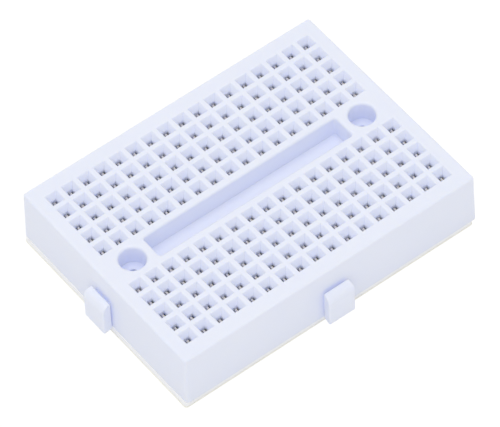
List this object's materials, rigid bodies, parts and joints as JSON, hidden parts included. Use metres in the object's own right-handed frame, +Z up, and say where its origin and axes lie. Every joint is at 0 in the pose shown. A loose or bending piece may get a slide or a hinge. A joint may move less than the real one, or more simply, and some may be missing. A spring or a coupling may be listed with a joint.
{
  "type": "solderless breadboard",
  "caption": "Small white solderless breadboard: moulded housing with square tie points in two banks, spring contact clips, dovetail tabs, screw holes and an adhesive foam back.",
  "frame": {"origin": "centre of the housing's footprint, on the flat face of the release liner that the board rests on", "axes": "+X along the columns, parallel to the long sides and the centre channel; +Y from the near bank to the far bank; +Z up, out of the face with the tie points"},
  "size_m": [0.0483, 0.0362, 0.0094],
  "materials": {
    "white_abs": "satin",
    "plated_spring": "satin",
    "foam": "matte",
    "adhesive_film": "satin",
    "liner_paper": "satin"
  },
  "bodies": {
    "release_liner": {"release_liner": "liner_paper"},
    "foam_pad": {"adhesive_bottom": "adhesive_film", "foam_core": "foam", "adhesive_top": "adhesive_film", "clip_near_01": "plated_spring", "clip_near_02": "plated_spring", "clip_near_03": "plated_spring", "clip_near_04": "plated_spring", "clip_near_05": "plated_spring", "clip_near_06": "plated_spring", "clip_near_07": "plated_spring", "clip_near_08": "plated_spring", "clip_near_09": "plated_spring", "clip_near_10": "plated_spring", "clip_near_11": "plated_spring", "clip_near_12": "plated_spring", "clip_near_13": "plated_spring", "clip_near_14": "plated_spring", "clip_near_15": "plated_spring", "clip_near_16": "plated_spring", "clip_near_17": "plated_spring", "clip_far_01": "plated_spring", "clip_far_02": "plated_spring", "clip_far_03": "plated_spring", "clip_far_04": "plated_spring", "clip_far_05": "plated_spring", "clip_far_06": "plated_spring", "clip_far_07": "plated_spring", "clip_far_08": "plated_spring", "clip_far_09": "plated_spring", "clip_far_10": "plated_spring", "clip_far_11": "plated_spring", "clip_far_12": "plated_spring", "clip_far_13": "plated_spring", "clip_far_14": "plated_spring", "clip_far_15": "plated_spring", "clip_far_16": "plated_spring", "clip_far_17": "plated_spring"},
    "housing": {"housing": "white_abs"}
  },
  "joints": [
    {"name": "liner_peel", "type": "slide", "parent": "release_liner", "child": "foam_pad", "axis": [0, 0, 1], "range_m": [0, 0.02]},
    {"name": "housing_lift", "type": "slide", "parent": "foam_pad", "child": "housing", "axis": [0, 0, 1], "range_m": [0, 0.018]}
  ]
}
